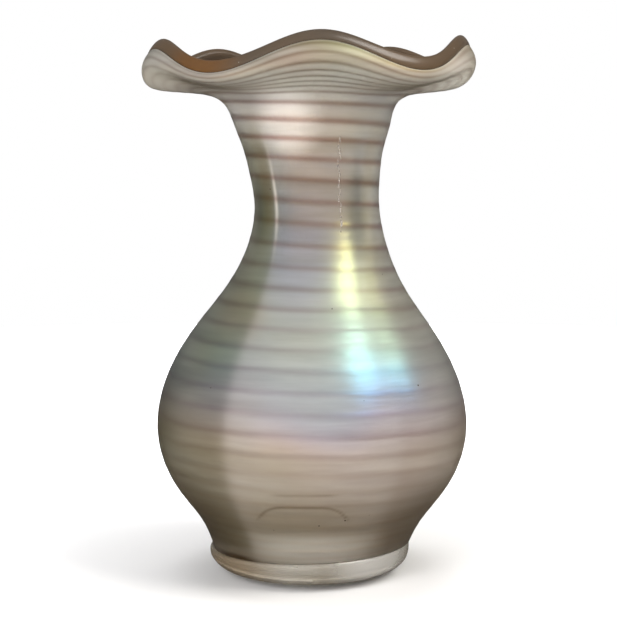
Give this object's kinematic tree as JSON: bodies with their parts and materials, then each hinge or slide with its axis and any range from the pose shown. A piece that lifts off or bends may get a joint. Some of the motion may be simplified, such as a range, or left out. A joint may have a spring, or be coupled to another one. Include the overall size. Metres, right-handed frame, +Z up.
{
  "type": "art glass vase",
  "caption": "Hand-blown art glass vase with a soft-panelled round belly, waisted neck, ruffled flared mouth and applied clear foot, wound with a spiral trail of rose glass.",
  "frame": {"origin": "centre of the ground disc's underside, the face the vase stands on", "axes": "+Z up the vase from foot to mouth, -Y towards the front, +X to the right seen from the front"},
  "size_m": [0.1259, 0.1262, 0.2038],
  "materials": {
    "opal_glass": "gloss",
    "pearl_glass": "iridescent gloss",
    "rose_thread": "gloss",
    "amber_lip": "gloss",
    "clear_foot": "gloss",
    "ground_base": "ground matt"
  },
  "bodies": {
    "root": {"inner_gather": "opal_glass", "outer_casing": "pearl_glass", "thread_trail": "rose_thread", "lip_wrap": "amber_lip", "foot_wafer": "clear_foot", "pontil_disc": "ground_base"}
  },
  "joints": []
}
